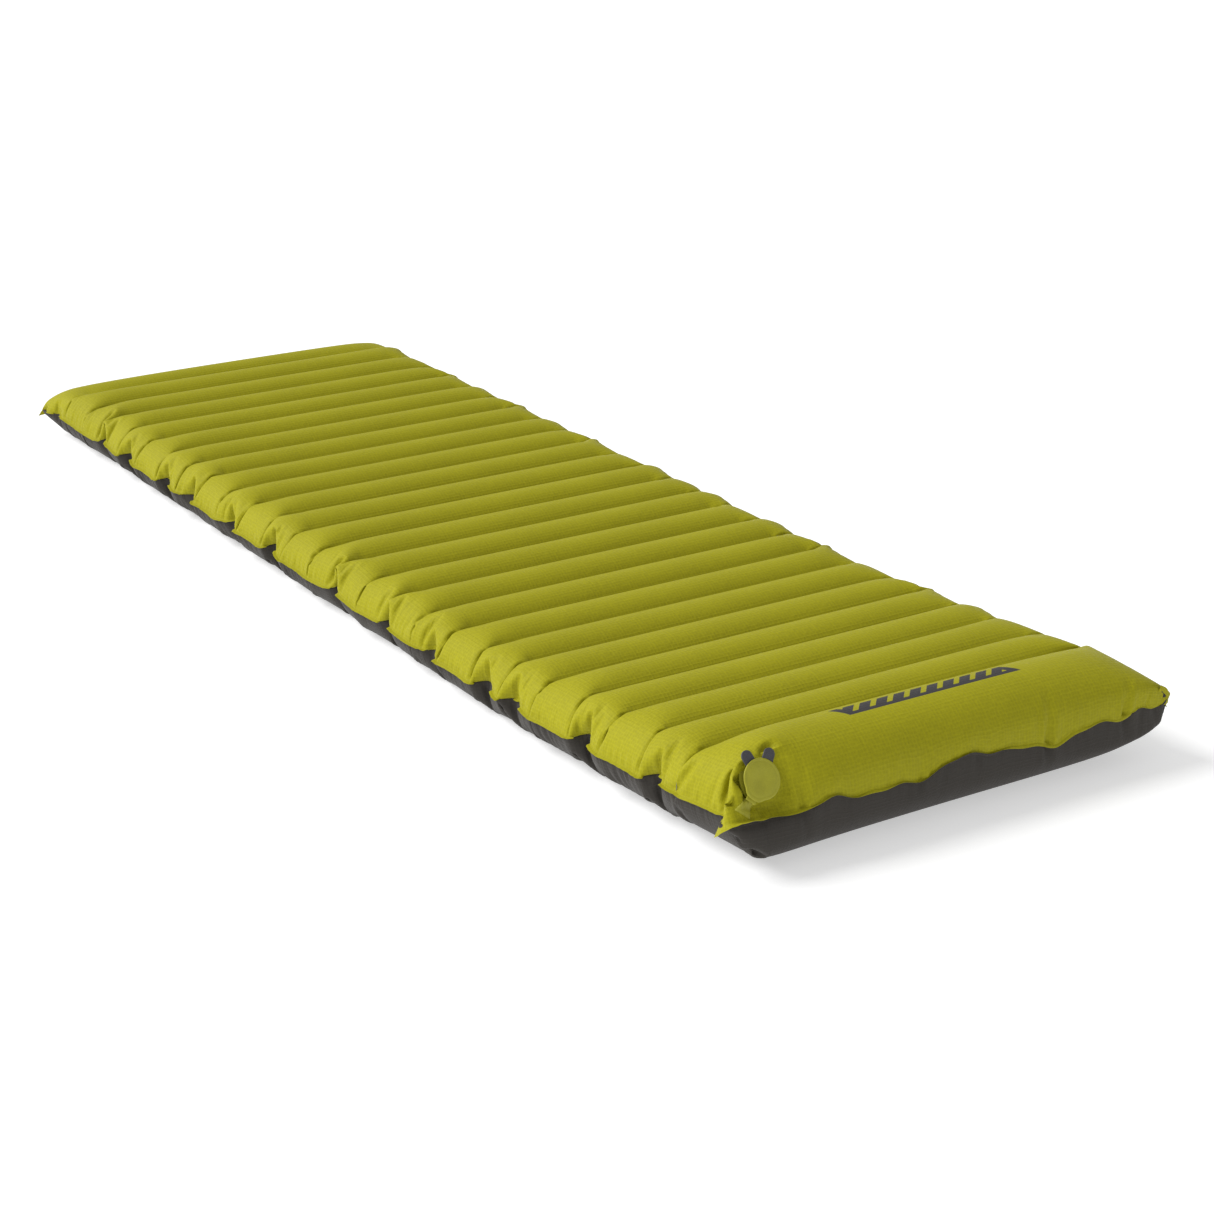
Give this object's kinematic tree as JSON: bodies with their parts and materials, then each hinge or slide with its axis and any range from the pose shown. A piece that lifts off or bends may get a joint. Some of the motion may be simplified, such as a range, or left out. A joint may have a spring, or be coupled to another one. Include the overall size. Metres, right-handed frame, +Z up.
{
  "type": "inflatable sleeping pad",
  "caption": "Inflated camping mat with a row of narrow cross tubes, a raised pillow-like foot pump along one end and a two-layer flap valve in its corner.",
  "frame": {"origin": "on the ground under the middle of the pad's overall box", "axes": "+X across the pad, +Y along it from the foot pump to the far end, +Z up"},
  "size_m": [0.635, 1.93, 0.1352],
  "materials": {
    "top_fabric": "matte ripstop weave in lime olive with a soft sheen",
    "bottom_fabric": "matte warm dark grey coated fabric",
    "baffle_film": "pale coated tape",
    "foam": "open-cell foam",
    "valve_green": "satin moulded soft plastic",
    "valve_white": "moulded soft plastic",
    "membrane": "thin translucent film",
    "pull_tab": "dark grey textured"
  },
  "bodies": {
    "pad": {"top_sheet": "top_fabric", "bottom_sheet": "bottom_fabric", "baffle_01": "baffle_film", "baffle_02": "baffle_film", "baffle_03": "baffle_film", "baffle_04": "baffle_film", "baffle_05": "baffle_film", "baffle_06": "baffle_film", "baffle_07": "baffle_film", "baffle_08": "baffle_film", "baffle_09": "baffle_film", "baffle_10": "baffle_film", "baffle_11": "baffle_film", "baffle_12": "baffle_film", "baffle_13": "baffle_film", "baffle_14": "baffle_film", "baffle_15": "baffle_film", "baffle_16": "baffle_film", "baffle_17": "baffle_film", "baffle_18": "baffle_film", "baffle_19": "baffle_film", "baffle_20": "baffle_film", "baffle_21": "baffle_film", "baffle_22": "baffle_film", "baffle_23": "baffle_film", "baffle_24": "baffle_film", "pump_divider": "baffle_film", "pump_foam_core": "foam", "check_valve_body": "valve_white", "valve_base": "valve_white", "strap_anchor": "valve_green"},
    "plug": {"valve_plug": "valve_green", "plug_tab": "pull_tab"},
    "cap": {"valve_cap": "valve_green", "cap_tab": "pull_tab"},
    "membrane": {"valve_membrane": "membrane"},
    "check_flap": {"check_valve_flap": "membrane"}
  },
  "joints": [
    {"name": "plug_hinge", "type": "hinge", "parent": "pad", "child": "plug", "pos_m": [-0.27744, -0.96011, 0.08639], "axis": [0.7071, -0.332, -0.6243], "range_deg": [0, 80]},
    {"name": "cap_hinge", "type": "hinge", "parent": "plug", "child": "cap", "pos_m": [-0.27603, -0.96139, 0.08867], "axis": [0.7071, -0.332, -0.6243], "range_deg": [0, 90]},
    {"name": "membrane_lift", "type": "slide", "parent": "plug", "child": "membrane", "axis": [0, 0.8829, -0.4695], "range_m": [0, 0.0015], "stiffness_N_per_m": 2},
    {"name": "check_flap_hinge", "type": "hinge", "parent": "pad", "child": "check_flap", "pos_m": [-0.19, -0.8558, 0.0725], "axis": [1, 0, 0], "range_deg": [0, 40]}
  ]
}
